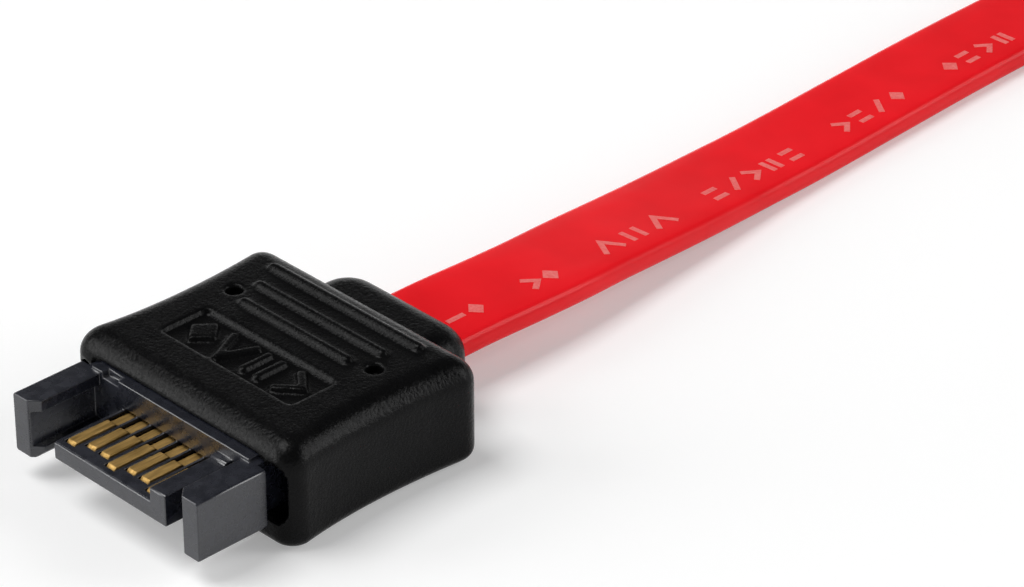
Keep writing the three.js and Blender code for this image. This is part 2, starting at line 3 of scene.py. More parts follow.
import bmesh
import bpy
from mathutils import Matrix, Vector
from mathutils.geometry import interpolate_bezier


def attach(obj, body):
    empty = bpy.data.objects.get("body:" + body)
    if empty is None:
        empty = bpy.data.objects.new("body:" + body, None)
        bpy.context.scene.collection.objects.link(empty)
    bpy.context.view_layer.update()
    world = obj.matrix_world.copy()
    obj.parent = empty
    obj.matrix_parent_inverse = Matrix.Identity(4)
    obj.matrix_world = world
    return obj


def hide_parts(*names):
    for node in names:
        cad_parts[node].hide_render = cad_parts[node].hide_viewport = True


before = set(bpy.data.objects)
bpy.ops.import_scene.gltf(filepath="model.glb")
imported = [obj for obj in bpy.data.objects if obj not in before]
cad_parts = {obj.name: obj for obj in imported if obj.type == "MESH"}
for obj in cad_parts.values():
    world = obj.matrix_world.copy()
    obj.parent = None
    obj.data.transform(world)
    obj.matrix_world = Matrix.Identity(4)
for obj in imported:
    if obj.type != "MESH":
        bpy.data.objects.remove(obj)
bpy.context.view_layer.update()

mm = 0.001


# Camera: in front of the plug, to its right and above it

cameraSet = {
    "aim": Vector((12.99, 9.215, 13.174)) * mm,
    "azimuth": math.radians(45.952),  # from straight in front, towards the right
    "elevation": math.radians(30.982),
    "distance": 267.68 * mm,
    "lens": 154.15,
    "sensor": 36,
    "clip": (5 * mm, 20),
}


def makeCamera():
    level = math.cos(cameraSet["elevation"])
    away = Vector((
        math.sin(cameraSet["azimuth"]) * level,
        -math.cos(cameraSet["azimuth"]) * level,
        math.sin(cameraSet["elevation"]),
    ))
    data = bpy.data.cameras.new("camera")
    data.lens = cameraSet["lens"]
    data.sensor_width = cameraSet["sensor"]
    data.clip_start, data.clip_end = cameraSet["clip"]
    camera = bpy.data.objects.new("camera", data)
    camera.location = cameraSet["aim"] + away * cameraSet["distance"]
    camera.rotation_euler = (-away).to_track_quat("-Z", "Y").to_euler()
    bpy.context.collection.objects.link(camera)
    bpy.context.scene.camera = camera


makeCamera()
print("camera placed")


# Material tools

def newMaterial(name):
    material = bpy.data.materials.new(name)
    material.use_nodes = True
    tree = material.node_tree
    return material, tree, tree.nodes["Principled BSDF"]


def noiseOf(tree, size, stretch=(1, 1, 1), detail=2.0):
    place = tree.nodes.new("ShaderNodeTexCoord")
    mapping = tree.nodes.new("ShaderNodeMapping")
    mapping.inputs["Scale"].default_value = stretch
    noise = tree.nodes.new("ShaderNodeTexNoise")
    noise.inputs["Scale"].default_value = 1 / size
    noise.inputs["Detail"].default_value = detail
    tree.links.new(place.outputs["Object"], mapping.inputs["Vector"])
    tree.links.new(mapping.outputs["Vector"], noise.inputs["Vector"])
    return noise.outputs["Fac"]


def ranged(tree, value, low, high, fromLow=0.3, fromHigh=0.7):
    node = tree.nodes.new("ShaderNodeMapRange")
    node.inputs["From Min"].default_value = fromLow
    node.inputs["From Max"].default_value = fromHigh
    node.inputs["To Min"].default_value = low
    node.inputs["To Max"].default_value = high
    tree.links.new(value, node.inputs["Value"])
    return node.outputs["Result"]


def mixed(tree, value, first, second):
    node = tree.nodes.new("ShaderNodeMix")
    node.data_type = "RGBA"
    node.inputs["A"].default_value = (*first, 1)
    node.inputs["B"].default_value = (*second, 1)
    tree.links.new(value, node.inputs["Factor"])
    return node.outputs["Result"]


def bumped(tree, height, depth, under=None):
    node = tree.nodes.new("ShaderNodeBump")
    node.inputs["Distance"].default_value = depth
    tree.links.new(height, node.inputs["Height"])
    if under is not None:
        tree.links.new(under, node.inputs["Normal"])
    return node.outputs["Normal"]


# Finishes

vinyl = {
    "dark": (0.0020, 0.0020, 0.0022),
    "pale": (0.0038, 0.0038, 0.0040),
    "gloss": 0.09,
    "roughness": (0.19, 0.36),
    "grainSize": 0.22 * mm,
    "grainDepth": 0.034 * mm,
    "grainDetail": 3,
    "waveSize": 1.8 * mm,
    "waveDepth": 0.03 * mm,
}


def coverVinyl():
    material, tree, shader = newMaterial("coverVinyl")
    grain = noiseOf(tree, vinyl["grainSize"], detail=vinyl["grainDetail"])
    wave = noiseOf(tree, vinyl["waveSize"])
    tone = mixed(tree, ranged(tree, wave, 0, 1), vinyl["dark"], vinyl["pale"])
    tree.links.new(tone, shader.inputs["Base Color"])
    tree.links.new(ranged(tree, grain, *vinyl["roughness"]), shader.inputs["Roughness"])
    shader.inputs["Specular IOR Level"].default_value = vinyl["gloss"]
    rough = bumped(tree, wave, vinyl["waveDepth"])
    tree.links.new(bumped(tree, grain, vinyl["grainDepth"], rough), shader.inputs["Normal"])
    return material


resin = {
    "dark": (0.0075, 0.0085, 0.0135),
    "pale": (0.0140, 0.0155, 0.0235),
    "gloss": 0.78,
    "roughness": (0.2, 0.34),
    "flowSize": 0.8 * mm,
    "flowDepth": 0.012 * mm,
    "flowDetail": 4,
    "sinkSize": 2.6 * mm,
    "sinkDepth": 0.05 * mm,
}


def insulatorResin():
    material, tree, shader = newMaterial("insulatorResin")
    flow = noiseOf(tree, resin["flowSize"], detail=resin["flowDetail"])
    sink = noiseOf(tree, resin["sinkSize"])
    tone = mixed(tree, ranged(tree, flow, 0, 1), resin["dark"], resin["pale"])
    tree.links.new(tone, shader.inputs["Base Color"])
    tree.links.new(ranged(tree, flow, *resin["roughness"]), shader.inputs["Roughness"])
    shader.inputs["Specular IOR Level"].default_value = resin["gloss"]
    sunk = bumped(tree, sink, resin["sinkDepth"])
    tree.links.new(bumped(tree, flow, resin["flowDepth"], sunk), shader.inputs["Normal"])
    return material


plating = {
    "bright": (0.64, 0.425, 0.155),
    "dull": (0.36, 0.22, 0.065),
    "roughness": (0.5, 0.62),
    "streakSize": 0.14 * mm,
    "streakDepth": 0.003 * mm,
    "streakStretch": (1, 0.08, 1),
    "streakDetail": 3,
}


def goldPlating():
    material, tree, shader = newMaterial("goldPlating")
    streak = noiseOf(tree, plating["streakSize"], plating["streakStretch"], plating["streakDetail"])
    tone = mixed(tree, ranged(tree, streak, 0, 1), plating["dull"], plating["bright"])
    tree.links.new(tone, shader.inputs["Base Color"])
    shader.inputs["Metallic"].default_value = 1
    tree.links.new(ranged(tree, streak, *plating["roughness"]), shader.inputs["Roughness"])
    tree.links.new(bumped(tree, streak, plating["streakDepth"]), shader.inputs["Normal"])
    return material


jacket = {
    "deep": (0.79, 0.0085, 0.014),
    "bright": (0.88, 0.011, 0.018),
    "gloss": 0.12,
    "roughness": (0.19, 0.225),
    "lineSize": 0.25 * mm,
    "lineDepth": 0.0002 * mm,
    "lineStretch": (1, 0.04, 1),
    "waveSize": 5 * mm,
    "waveDepth": 0.05 * mm,
}


def cableJacket():
    material, tree, shader = newMaterial("cableJacket")
    lines = noiseOf(tree, jacket["lineSize"], jacket["lineStretch"])
    wave = noiseOf(tree, jacket["waveSize"])
    tone = mixed(tree, ranged(tree, wave, 0, 1), jacket["deep"], jacket["bright"])
    tree.links.new(tone, shader.inputs["Base Color"])
    tree.links.new(ranged(tree, lines, *jacket["roughness"]), shader.inputs["Roughness"])
    shader.inputs["Specular IOR Level"].default_value = jacket["gloss"]
    drawn = bumped(tree, wave, jacket["waveDepth"])
    tree.links.new(bumped(tree, lines, jacket["lineDepth"], drawn), shader.inputs["Normal"])
    return material


plain = {
    "bump": 1 / 40,  # of the speck's size
    "spread": 0.06,  # of the roughness, to both sides
    "detail": 3,
}
plainLooks = {
    "innerMouldNatural": {
        "dark": (0.60, 0.58, 0.50),
        "pale": (0.72, 0.70, 0.62),
        "speck": 0.5 * mm,
        "roughness": 0.5,
        "metallic": 0,
    },
    "coreInsulation": {
        "dark": (0.55, 0.56, 0.58),
        "pale": (0.66, 0.67, 0.69),
        "speck": 0.4 * mm,
        "roughness": 0.4,
        "metallic": 0,
    },
    "drainWire": {
        "dark": (0.55, 0.53, 0.50),
        "pale": (0.72, 0.70, 0.67),
        "speck": 0.2 * mm,
        "roughness": 0.35,
        "metallic": 1,
    },
    "tiePlastic": {
        "dark": (0.008, 0.008, 0.009),
        "pale": (0.014, 0.014, 0.015),
        "speck": 0.3 * mm,
        "roughness": 0.4,
        "metallic": 0,
    },
    "legendInk": {
        "dark": (0.80, 0.085, 0.085),
        "pale": (0.86, 0.20, 0.185),
        "speck": 0.22 * mm,
        "roughness": 0.5,
        "metallic": 0,
    },
}


def plainFinish(name):
    look = plainLooks[name]
    material, tree, shader = newMaterial(name)
    speck = noiseOf(tree, look["speck"], detail=plain["detail"])
    tone = mixed(tree, ranged(tree, speck, 0, 1), look["dark"], look["pale"])
    tree.links.new(tone, shader.inputs["Base Color"])
    smoothest, roughest = look["roughness"] - plain["spread"], look["roughness"] + plain["spread"]
    tree.links.new(ranged(tree, speck, smoothest, roughest), shader.inputs["Roughness"])
    shader.inputs["Metallic"].default_value = look["metallic"]
    tree.links.new(bumped(tree, speck, look["speck"] * plain["bump"]), shader.inputs["Normal"])
    return material


coverFinish = coverVinyl()
insulatorFinish = insulatorResin()
goldFinish = goldPlating()
jacketFinish = cableJacket()
mouldFinish = plainFinish("innerMouldNatural")
coreFinish = plainFinish("coreInsulation")
drainFinish = plainFinish("drainWire")
tieFinish = plainFinish("tiePlastic")
legendFinish = plainFinish("legendInk")
print("finishes made")


# Mesh tools

cornerSteps = 6  # faces round a quarter turn
mitreLimit = 0.5  # keeps a ribbon's sharp corner short


def loftInto(shell, rings):
    rows = [[shell.verts.new(p) for p in ring] for ring in rings]
    count = len(rows[0])
    for low, high in zip(rows, rows[1:]):
        for i in range(count):
            j = (i + 1) % count
            shell.faces.new((low[i], low[j], high[j], high[i]))
    shell.faces.new(rows[0][::-1])
    shell.faces.new(rows[-1])


def loftMesh(name, *lofts):
    shell = bmesh.new()
    for rings in lofts:
        loftInto(shell, rings)
    bmesh.ops.recalc_face_normals(shell, faces=shell.faces)
    data = bpy.data.meshes.new(name)
    shell.to_mesh(data)
    shell.free()
    return data


def addPiece(name, data, material, replaced=()):
    piece = bpy.data.objects.new(name, data)
    bpy.context.collection.objects.link(piece)
    piece.data.materials.clear()
    piece.data.materials.append(material)
    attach(piece, "root")
    if replaced:
        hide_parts(*replaced)
    return piece


def cornerPoints(middle, radius, quarter):
    x, y = middle
    turns = [math.pi / 2 * (quarter + i / cornerSteps) for i in range(cornerSteps + 1)]
    return [(x + radius * math.cos(turn), y + radius * math.sin(turn)) for turn in turns]


def roundedBar(width, height, corner, middle=(0, 0)):
    u, v = middle
    side, top = width / 2 - corner, height / 2 - corner
    places = ((u + side, v + top), (u - side, v + top), (u - side, v - top), (u + side, v - top))
    return [point for i, place in enumerate(places) for point in cornerPoints(place, corner, i)]


def standing(plan, low, high):
    return [[(x, y, z) for x, y in plan] for z in (low, high)]


def alongY(outline, front, rear):
    return [[(x, y, z) for x, z in outline] for y in (front, rear)]


def gemOutline(middle, wide, tall):
    u, v = middle
    return [(u + wide / 2, v), (u, v + tall / 2), (u - wide / 2, v), (u, v - tall / 2)]


def ribbon(points, width):
    spots = [Vector(p) for p in points]
    left, right = [], []
    for i, spot in enumerate(spots):
        before = (spot - spots[i - 1]).normalized() if i else (spots[1] - spot).normalized()
        after = (spots[i + 1] - spot).normalized() if i < len(spots) - 1 else before
        normal = Vector((-(before.y + after.y), before.x + after.x)).normalized()
        reach = width / 2 / max(normal.dot(Vector((-before.y, before.x))), mitreLimit)
        left.append(tuple(spot + normal * reach))
        right.append(tuple(spot - normal * reach))
    return left + right[::-1]


# Cable: its way from the plug, over the tie, round the loop and back to the receptacle

cable = {
    "width": 7.8 * mm,
    "thickness": 1.65 * mm,
    "edgeRound": 0.55 * mm,
    "flatSteps": 6,
    "ringStep": 1.0 * mm,
    "curveSteps": 24,  # between two points of the way, before it is divided evenly
    # From here on in millimetres
    "hankX": -3.6,
    "highRun": 3.375,  # height of the upper run at the tie
    "tieEnd": 135,  # the tie's far side, along
    "fold": 196,
    "loopRadius": 11.5,
    "loopSteps": 12,
    "loopEase": 20,
    "tieEase": 27,
    "easeSteps": 9,
    "receptacleAxis": 4.81,
    "receptacleExit": 118.9,
    "receptacleEnd": 111.4,
}
tiny = 1e-9  # keeps a length from being nothing

# Over, along, up, in millimetres
leadRoute = [
    (0, 5.5, 3.1),
    (0, 10, 3.1),
    (0, 13, 3.1),
    (0, 16.5, 3.09),
    (0, 21, 2.92),
    (-0.2, 25, 2.66),
    (-0.6, 29, 2.34),
    (-0.95, 33, 1.99),
    (-1.3, 37, 1.65),
    (-1.68, 41, 1.34),
    (-2.05, 45, 1.08),
    (-2.3, 49, 0.92),
    (-2.55, 53, 0.84),
    (-3, 61, 0.83),
    (-3.4, 69, 0.83),
    (-3.6, 77, 0.83),
    (-3.65, 85.5, 0.83),
    (-3.6, 95, 0.83),
    (-3.6, 106, 0.83),
    (-3.6, 118, 0.85),
]
# Along and up, where it leaves the tie below and rises to the receptacle above
lowRise = [(121.7, 0.925), (125.5, 1.32), (129, 1.7), (132, 1.725), (135, 1.7)]
lowFall = [
    (138.5, 1.42),
    (142, 1.12),
    (146, 0.9),
    (150, 0.83),
    (158, 0.83),
    (168, 0.83),
    (178, 0.83),
    (187, 0.83),
]
highRise = [(132, 3.375), (129, 3.4), (125.5, 3.95), (122, 4.68)]


def hankRoute():
    x = cable["hankX"]
    far, fold, radius = cable["tieEnd"], cable["fold"], cable["loopRadius"]
    centre = cable["thickness"] / 2 / mm + radius
    top = centre + radius
    points = [(x, y, z) for y, z in lowRise + lowFall]
    for i in range(cable["loopSteps"] + 1):
        turn = math.pi * (i / cable["loopSteps"] - 0.5)
        points.append((x, fold + radius * math.cos(turn), centre + radius * math.sin(turn)))
    ways = (
        (fold, top),
        (fold - cable["loopEase"], top),
        (far + cable["tieEase"], cable["highRun"]),
        (far, cable["highRun"]),
    )
    bends = [Vector((x, y, z)) for y, z in ways]
    points += [tuple(p) for p in interpolate_bezier(*bends, cable["easeSteps"])[1:]]
    points += [(x, y, z) for y, z in highRise]
    axis, leave, end = cable["receptacleAxis"], cable["receptacleExit"], cable["receptacleEnd"]
    return points + [(x, leave, axis), (x, (leave + end) / 2, axis), (x, end, axis)]


def smoothed(points, step):
    spots = [Vector(p) * mm for p in points]
    spots = [2 * spots[0] - spots[1]] + spots + [2 * spots[-1] - spots[-2]]
    fine = []
    for a, b, c, d in zip(spots, spots[1:], spots[2:], spots[3:]):
        ta, tb, tc = (max((q - p).length, tiny) ** 0.5 for p, q in ((a, b), (b, c), (c, d)))
        leave = tb * ((b - a) / ta - (c - a) / (ta + tb) + (c - b) / tb)
        arrive = tb * ((c - b) / tb - (d - b) / (tb + tc) + (d - c) / tc)
        fine += interpolate_bezier(b, b + leave / 3, c - arrive / 3, c, cable["curveSteps"])[:-1]
    fine.append(spots[-2])
    lengths = [0.0]
    for p, q in zip(fine, fine[1:]):
        lengths.append(lengths[-1] + (q - p).length)
    count = round(lengths[-1] / step)
    even, at = [], 0
    for i in range(count + 1):
        want = lengths[-1] * i / count
        while at < len(fine) - 2 and lengths[at + 1] < want:
            at += 1
        share = (want - lengths[at]) / (lengths[at + 1] - lengths[at])
        even.append(fine[at].lerp(fine[at + 1], share))
    for point in even:
        point.z = max(point.z, cable["thickness"] / 2)
    return even, lengths[-1]


def cableSection():
    half, side, corner = cable["thickness"] / 2, cable["width"] / 2, cable["edgeRound"]
    points = roundedBar(cable["width"], cable["thickness"], corner)
    steps = cable["flatSteps"]
    across = [(side - corner) * (1 - 2 * i / steps) for i in range(1, steps)]
    quarter = len(points) // 4
    top = [(u, half) for u in across]
    bottom = [(-u, -half) for u in across]
    return points[:quarter] + top + points[quarter:3 * quarter] + bottom + points[3 * quarter:]


routePoints, routeLength = smoothed(leadRoute + hankRoute(), cable["ringStep"])


def frameAt(i):
    before = routePoints[max(i - 1, 0)]
    after = routePoints[min(i + 1, len(routePoints) - 1)]
    ahead = (after - before).normalized()
    across = (Vector((1, 0, 0)) - ahead * ahead.x).normalized()
    return across, across.cross(ahead)


def makeCable():
    section = cableSection()
    rings = []
    for i, point in enumerate(routePoints):
        across, up = frameAt(i)
        rings.append([point + across * u + up * v for u, v in section])
    data = loftMesh("cable", rings)
    data.shade_smooth()
    solids = ("cable_lead", "cable_hank", "cable_tail")
    return addPiece("cable", data, jacketFinish, solids)


cablePiece = makeCable()
print("cable laid, its length in millimetres:", round(routeLength / mm, 2))


# Printed marks along the cable: plain shapes in a worn, pale ink

legend = {
    "near": 0.9,  # from the cable's middle, in millimetres
    "far": 2.35,
    "stroke": 0.42,
    "sunk": 0.02,
    "proud": 0.02,
    "start": 5.5,  # where the cable's own length begins, along
}
markShapes = {
    "dash": [[(0, 0.5), (1, 0.5)]],
    "slash": [[(0.1, 1), (0.9, 0)]],
    "peak": [[(0, 1), (0.5, 0), (1, 1)]],
    "arrow": [[(0.2, 0), (0.85, 0.5), (0.2, 1)]],
    "pair": [[(0.2, 0), (0.2, 1)], [(0.75, 0), (0.75, 1)]],
    "steps": [[(0.05, 0.12), (0.95, 0.12)], [(0.05, 0.88), (0.95, 0.88)]],
    "gem": [],  # a filled diamond
}
# Where each mark begins along the cable, how long it is, and its shape
legendMarks = [
    (14.4, 1.5, "dash"),
    (16.3, 1.3, "gem"),
    (21.3, 1.4, "arrow"),
    (23.0, 1.4, "gem"),
    (28.6, 2.0, "peak"),
    (31.3, 2.1, "pair"),
    (34.2, 2.0, "peak"),
    (40.4, 1.5, "steps"),
    (42.6, 1.5, "slash"),
    (44.6, 1.6, "arrow"),
    (46.8, 1.4, "pair"),
    (48.9, 1.4, "steps"),
    (54.7, 1.4, "arrow"),
    (56.7, 1.4, "steps"),
    (58.8, 1.4, "slash"),
    (60.9, 1.3, "gem"),
    (67.0, 1.4, "gem"),
    (69.0, 1.4, "steps"),
    (71.1, 1.4, "arrow"),
    (73.2, 1.3, "pair"),
]


def onCable(along, across, lift):
    at = (along * mm - legend["start"] * mm) / (routeLength / (len(routePoints) - 1))
    i = int(at)
    side, up = frameAt(i)
    middle = routePoints[i].lerp(routePoints[i + 1], at - i)
    return middle + side * across * mm + up * (cable["thickness"] / 2 + lift * mm)


def makeLegend():
    lofts = []
    tall = legend["far"] - legend["near"]
    lifts = (-legend["sunk"], legend["proud"])
    for start, length, shape in legendMarks:
        outlines = []
        for stroke in markShapes[shape]:
            spots = [(start + a * length, legend["near"] + c * tall) for a, c in stroke]
            outlines.append(ribbon(spots, legend["stroke"]))
        if shape == "gem":
            outlines.append(gemOutline((start + length / 2, legend["near"] + tall / 2), length, tall))
        for outline in outlines:
            lofts.append([[onCable(a, c, lift) for a, c in outline] for lift in lifts])
    return addPiece("cable_legend", loftMesh("cable_legend", *lofts), legendFinish)


legendPiece = makeLegend()
print("cable marked")


# Softened copies of the moulded and stamped pieces, their edges rounded as tools leave them

edges = {
    "insulator": (0.08 * mm, 2),  # the rounding's width and its steps
    "contact": (0.04 * mm, 1),
    "sharp": math.radians(30),  # an edge that turns further is rounded
    "flat": math.radians(1),  # faces that turn less become one
    "weld": 0.0005 * mm,
    "weight": 100,  # of the large faces in the shading
}
contactCount = 7


def softened(node, rounding, material):
    width, steps = rounding
    shape = bmesh.new()
    shape.from_mesh(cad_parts[node].data)
    bmesh.ops.remove_doubles(shape, verts=shape.verts, dist=edges["weld"])
    bmesh.ops.dissolve_limit(shape, angle_limit=edges["flat"], verts=shape.verts, edges=shape.edges)
    sharp = [e for e in shape.edges if e.is_manifold and e.calc_face_angle() > edges["sharp"]]
    bmesh.ops.bevel(
        shape,
        geom=sharp,
        offset=width,
        segments=steps,
        profile=0.5,
        affect="EDGES",
        clamp_overlap=False,
    )
    data = bpy.data.meshes.new(node + "_softened")
    shape.to_mesh(data)
    shape.free()
    data.shade_smooth()
    piece = addPiece(node + "_softened", data, material, (node,))
    normals = piece.modifiers.new("faceNormals", "WEIGHTED_NORMAL")
    normals.weight = edges["weight"]
    return piece


def makeConnector(end):
    made = [softened(end + "_insulator", edges["insulator"], insulatorFinish)]
    for i in range(contactCount):
        contact = f"{end}_contact_{i + 1}"
        made.append(softened(contact, edges["contact"], goldFinish))
    return made


makeConnector("plug")
receptaclePieces = makeConnector("receptacle")
print("insulators and contacts made")


# Covers: soft black mouldings, the same outside at both ends, in millimetres from the front face

cover = {
    "places": {"plug": (0, -6.9, 0), "receptacle": (-3.6, 99, 1.71)},
    "frontHalf": 10.35,
    "waistHalf": 9.87,
    "rearHalf": 10.3,
    "length": 16.2,
    "height": 7.4,
    "rounds": (0.9, 1.75),  # of the lower and upper edges
    "frontCorner": 1.4,
    "rearCorner": 1.3,
    "cornerShare": 0.6,  # how much a corner tightens as an edge rounds over
    "waist": (0.32, 0.62),
    "sideSteps": 12,
    "levelSteps": 12,
    "skin": 0.14,  # size of the mesh's faces
    "easing": 4,
    "easeFactor": 0.5,
}
boss = {
    "half": 6.1,
    "length": 3.7,
    "corner": 2.2,
    "levels": (0.3, 6.05),
    "rounds": (1.4, 1.9),
    "lap": 2.0,
}
ribs = {
    "places": ((9.8, 5.25), (11.9, 6.15), (14.0, 7.2)),  # along, and half their length
    "width": 0.8,
    "height": 0.38,
    "turn": math.radians(75),  # how far a rib's side rounds over
    "root": 0.2,
    "steps": 6,
}
dimples = {"side": 6.6, "along": 10.45, "radius": 0.58, "depth": 0.8}
panel = {"width": 12.2, "front": 3.95, "length": 3.8, "depth": 0.4, "corner": 0.35}
panelMarks = {
    "height": 0.38,
    "tall": 2.6,
    "wide": 2.4,
    "stroke": 0.6,
    "places": ((-4.25, "gem"), (-1.45, "peak"), (1.45, "pair"), (4.25, "arrow")),
}
hollow = {
    "plug": (7.52, 1.35, 6.15),  # half of its width, and from its underside to its top
    "receptacle": (7.15, 1.45, 5.95),
    "depth": 5.85,
    "mould": (12.7, 4.0, 12.4),  # width, height and how far back it ends
    "cable": (7.9, 1.75, 0.55),
    "axis": 3.1,
}
armRoom = {"half": 8.07, "levels": (1.6, 5.9), "depth": 3.45}
pocket = {
    "inside": 8.02,
    "outside": 9.67,
    "low": 1.85,
    "highs": (5.5, 5.95),  # of the left and the right one
    "corner": 0.75,
    "depth": 2.2,
}
past = 1  # how far a cutting shape runs past what it cuts


def coverPlan(inset):
    front, rear = cover["frontHalf"] - inset, cover["rearHalf"] - inset
    waist = cover["waistHalf"] - inset
    back = cover["length"] - inset
    frontCorner = cover["frontCorner"] - cover["cornerShare"] * inset
    rearCorner = cover["rearCorner"] - cover["cornerShare"] * inset
    pull = (8 * waist - front - rear) / 6  # brings the curve's middle to the waist
    ways = (
        (front, inset + frontCorner),
        (pull, cover["length"] * cover["waist"][0]),
        (pull, cover["length"] * cover["waist"][1]),
        (rear, back - rearCorner),
    )
    curve = interpolate_bezier(*[Vector(way) for way in ways], cover["sideSteps"])
    right = [tuple(p) for p in curve[1:-1]]
    left = [(-x, y) for x, y in reversed(right)]
    plan = cornerPoints((front - frontCorner, inset + frontCorner), frontCorner, 3) + right
    plan += cornerPoints((rear - rearCorner, back - rearCorner), rearCorner, 0)
    plan += cornerPoints((rearCorner - rear, back - rearCorner), rearCorner, 1) + left
    return plan + cornerPoints((frontCorner - front, inset + frontCorner), frontCorner, 2)


def bossPlan(inset):
    half = boss["half"] - inset
    front = cover["length"] - boss["lap"]
    rear = cover["length"] + boss["length"] - inset
    corner = boss["corner"] - cover["cornerShare"] * inset
    plan = [(half, front)]
    plan += cornerPoints((half - corner, rear - corner), corner, 0)
    plan += cornerPoints((corner - half, rear - corner), corner, 1)
    return plan + [(-half, front)]


def roundedLevels(planOf, levels, rounds):
    rings = []
    turns = [math.pi / 2 * i / cover["levelSteps"] for i in range(cover["levelSteps"] + 1)]
    for turn in turns:
        z = levels[0] + rounds[0] * (1 - math.cos(turn))
        rings.append([(x, y, z) for x, y in planOf(rounds[0] * (1 - math.sin(turn)))])
    for turn in turns:
        z = levels[1] - rounds[1] * (1 - math.sin(turn))
        rings.append([(x, y, z) for x, y in planOf(rounds[1] * (1 - math.cos(turn)))])
    return rings


def ribRings(along, halfLength):
    half = ribs["width"] / 2
    middle = (halfLength - half, along)

    def planOf(inset):
        radius = half - inset
        right = cornerPoints(middle, radius, 3) + cornerPoints(middle, radius, 0)[1:]
        return right + [(-x, 2 * along - y) for x, y in right]

    turns = [ribs["turn"] * i / ribs["steps"] for i in range(ribs["steps"] + 1)]
    rings = [[(x, y, cover["height"] - ribs["root"]) for x, y in planOf(0)]]
    for turn in turns:
        z = cover["height"] + ribs["height"] * math.sin(turn) / math.sin(ribs["turn"])
        rings.append([(x, y, z) for x, y in planOf(half * (1 - math.cos(turn)))])
    return rings


def dimpleRings(side):
    middle = (side * dimples["side"], dimples["along"])
    plan = [p for quarter in range(4) for p in cornerPoints(middle, dimples["radius"], quarter)[:-1]]
    return standing(plan, cover["height"] - dimples["depth"], cover["height"] + past)


def hollowRings(end):
    half, underside, top = hollow[end]
    width, height, rear = hollow["mould"]
    wide, thick, corner = hollow["cable"]
    axis = hollow["axis"]
    room = [(half, underside), (half, top), (-half, top), (-half, underside)]
    mould = [(width / 2, axis - height / 2), (width / 2, axis + height / 2)]
    mould += [(-x, z) for x, z in reversed(mould)]
    yield alongY(room, -past, hollow["depth"])
    yield alongY(mould, hollow["depth"] - past / 2, rear)
    channel = roundedBar(wide, thick, corner, (0, axis))
    yield alongY(channel, rear - past / 2, cover["length"] + boss["length"] + past)


def plugCuts():
    half, levels = armRoom["half"], armRoom["levels"]
    room = [(half, levels[0]), (half, levels[1]), (-half, levels[1]), (-half, levels[0])]
    yield alongY(room, -past, armRoom["depth"])
    middle = (0, panel["front"] + panel["length"] / 2)
    recess = roundedBar(panel["width"], panel["length"], panel["corner"], middle)
    yield standing(recess, cover["height"] - panel["depth"], cover["height"] + past)
    low = pocket["low"]
    reach = pocket["outside"] - pocket["inside"]
    for side, high in zip((-1, 1), pocket["highs"]):
        middle = (side * (pocket["inside"] + pocket["outside"]) / 2, (low + high) / 2)
        yield alongY(roundedBar(reach, high - low, pocket["corner"], middle), -past, pocket["depth"])


def panelShapes():
    low = cover["height"] - panel["depth"] - ribs["root"]
    high = cover["height"] - panel["depth"] + panelMarks["height"]
    wide, tall = panelMarks["wide"], panelMarks["tall"]
    near = panel["front"] + panel["length"] / 2 - tall / 2
    for middle, shape in panelMarks["places"]:
        if shape == "gem":
            yield standing(gemOutline((middle, near + tall / 2), wide, tall), low, high)
        for stroke in markShapes[shape]:
            spots = [(middle + (a - 0.5) * wide, near + c * tall) for a, c in stroke]
            yield standing(ribbon(spots, panelMarks["stroke"]), low, high)


def carved(name, body, changes):
    base = bpy.data.objects.new(name, loftMesh(name, body))
    helpers = [base]
    for operation, rings in changes:
        tool = bpy.data.objects.new(name + "Tool", loftMesh(name + "Tool", rings))
        change = base.modifiers.new("shaping", "BOOLEAN")
        change.operation = operation
        change.solver = "MANIFOLD"
        change.object = tool
        helpers.append(tool)
    for helper in helpers:
        bpy.context.collection.objects.link(helper)
    skin = base.modifiers.new("skin", "REMESH")
    skin.mode = "VOXEL"
    skin.voxel_size = cover["skin"]
    skin.use_smooth_shade = True
    ease = base.modifiers.new("ease", "SMOOTH")
    ease.factor = cover["easeFactor"]
    ease.iterations = cover["easing"]
    graph = bpy.context.evaluated_depsgraph_get()
    data = bpy.data.meshes.new_from_object(base.evaluated_get(graph))
    for helper in helpers:
        bpy.data.objects.remove(helper)
    return data


def makeCover(end):
    changes = [("UNION", roundedLevels(bossPlan, boss["levels"], boss["rounds"]))]
    changes += [("UNION", ribRings(*spot)) for spot in ribs["places"]]
    changes += [("DIFFERENCE", rings) for rings in hollowRings(end)]
    changes += [("DIFFERENCE", dimpleRings(side)) for side in (-1, 1)]
    if end == "plug":
        changes += [("DIFFERENCE", rings) for rings in plugCuts()]
        changes += [("UNION", rings) for rings in panelShapes()]
    body = roundedLevels(coverPlan, (0, cover["height"]), cover["rounds"])
    data = carved(end + "Cover", body, changes)
    place = Vector(cover["places"][end]) * mm
    data.transform(Matrix.Translation(place) @ Matrix.Scale(mm, 4))
    return addPiece(end + "_cover_moulding", data, coverFinish, (end + "_cover",))


plugCover = makeCover("plug")
receptacleCover = makeCover("receptacle")
print("covers moulded, faces:", len(plugCover.data.polygons), len(receptacleCover.data.polygons))


# Pieces that keep the frame's shapes

drainWires = (1, 4, 7)  # the bare ones among each end's wires


def finished(node, material):
    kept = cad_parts[node]
    kept.data.materials.clear()
    kept.data.materials.append(material)
    return kept


def finishInside(end):
    made = [finished(end + "_inner_mould", mouldFinish)]
    for number in range(1, contactCount + 1):
        wireFinish = drainFinish if number in drainWires else coreFinish
        made.append(finished(f"{end}_wire_{number}", wireFinish))
    return made


finishInside("plug")
receptacleNodes = finishInside("receptacle")
tie = finished("hank_tie", tieFinish)
print("inner pieces and tie finished")
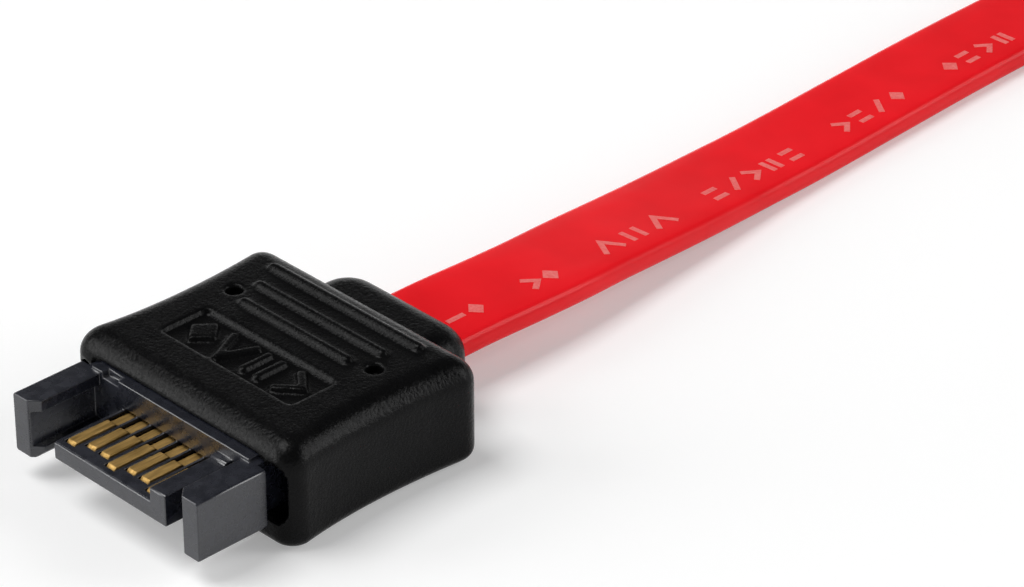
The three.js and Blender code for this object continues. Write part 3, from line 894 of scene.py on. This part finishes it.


# Stage and light

studio = {
    "floorSize": 8,
    "floorDrop": 0.02 * mm,  # keeps it clear of the part's underside
    "floorWhite": 0.8,
    "floorLift": 0.25,  # added where the camera or a reflection sees it
    "horizon": 1.0,
    "ceiling": 0.09,
    "ceilingHeights": (0.15, 0.42),  # of a direction's upward part
    "overhead": {
        "place": (-0.55, -0.45, 1.5),
        "along": (1, 0, 0),
        "size": (0.9, 0.9),
        "glow": 6.6,
    },
    "rightStrip": {
        "place": (0.925, 0.93, 0.575),
        "along": (-0.512, 0, 0.859),
        "size": (0.55, 1.0),
        "glow": 4.5,
    },
    "leftStrip": {
        "place": (-0.925, -0.93, 0.515),
        "along": (0, 0.485, 0.874),
        "size": (0.5, 1.02),
        "glow": 5.5,
    },
}


def makeFloor():
    half = studio["floorSize"] / 2
    data = bpy.data.meshes.new("floor")
    corners = [(-half, -half), (half, -half), (half, half), (-half, half)]
    data.from_pydata([(x, y, -studio["floorDrop"]) for x, y in corners], [], [(0, 1, 2, 3)])
    floor = bpy.data.objects.new("floor", data)
    bpy.context.collection.objects.link(floor)
    material = bpy.data.materials.new("floorPaper")
    material.use_nodes = True
    tree = material.node_tree
    tree.nodes.clear()
    output = tree.nodes.new("ShaderNodeOutputMaterial")
    paper = tree.nodes.new("ShaderNodeBsdfDiffuse")
    paper.inputs["Color"].default_value = (*[studio["floorWhite"]] * 3, 1)
    glow = tree.nodes.new("ShaderNodeEmission")
    path = tree.nodes.new("ShaderNodeLightPath")
    seen = path.outputs["Is Camera Ray"]
    for kind in ("Is Glossy Ray", "Is Transmission Ray"):
        either = tree.nodes.new("ShaderNodeMath")
        either.operation = "MAXIMUM"
        tree.links.new(seen, either.inputs[0])
        tree.links.new(path.outputs[kind], either.inputs[1])
        seen = either.outputs[0]
    level = tree.nodes.new("ShaderNodeMath")
    level.operation = "MULTIPLY"
    level.inputs[1].default_value = studio["floorLift"]
    tree.links.new(seen, level.inputs[0])
    tree.links.new(level.outputs[0], glow.inputs["Strength"])
    both = tree.nodes.new("ShaderNodeAddShader")
    tree.links.new(paper.outputs[0], both.inputs[0])
    tree.links.new(glow.outputs[0], both.inputs[1])
    tree.links.new(both.outputs[0], output.inputs["Surface"])
    data.materials.append(material)


def makeSoftbox(name):
    box = studio[name]
    width, height = box["size"]
    data = bpy.data.lights.new(name, "AREA")
    data.shape = "RECTANGLE"
    data.size = width
    data.size_y = height
    data.energy = box["glow"] * math.pi * width * height
    away = Vector(box["place"]).normalized()
    along = Vector(box["along"])
    along = (along - away * along.dot(away)).normalized()
    across = along.cross(away)
    lamp = bpy.data.objects.new(name, data)
    facing = Matrix((across, along, away)).transposed().to_4x4()
    lamp.matrix_world = Matrix.Translation(box["place"]) @ facing
    lamp.visible_camera = False
    bpy.context.collection.objects.link(lamp)


def makeWorld():
    world = bpy.data.worlds.new("studioWorld")
    bpy.context.scene.world = world
    world.use_nodes = True
    tree = world.node_tree
    tree.nodes.clear()
    output = tree.nodes.new("ShaderNodeOutputWorld")
    room = tree.nodes.new("ShaderNodeBackground")
    place = tree.nodes.new("ShaderNodeTexCoord")
    split = tree.nodes.new("ShaderNodeSeparateXYZ")
    tree.links.new(place.outputs["Generated"], split.inputs[0])
    low, high = studio["ceilingHeights"]
    fade = ranged(tree, split.outputs["Z"], studio["horizon"], studio["ceiling"], low, high)
    tree.links.new(fade, room.inputs["Strength"])
    room.inputs["Color"].default_value = (1, 1, 1, 1)
    tree.links.new(room.outputs[0], output.inputs["Surface"])


makeFloor()
for softbox in ("overhead", "rightStrip", "leftStrip"):
    makeSoftbox(softbox)
makeWorld()

bpy.context.scene.view_settings.view_transform = "Standard"
print("stage lit")
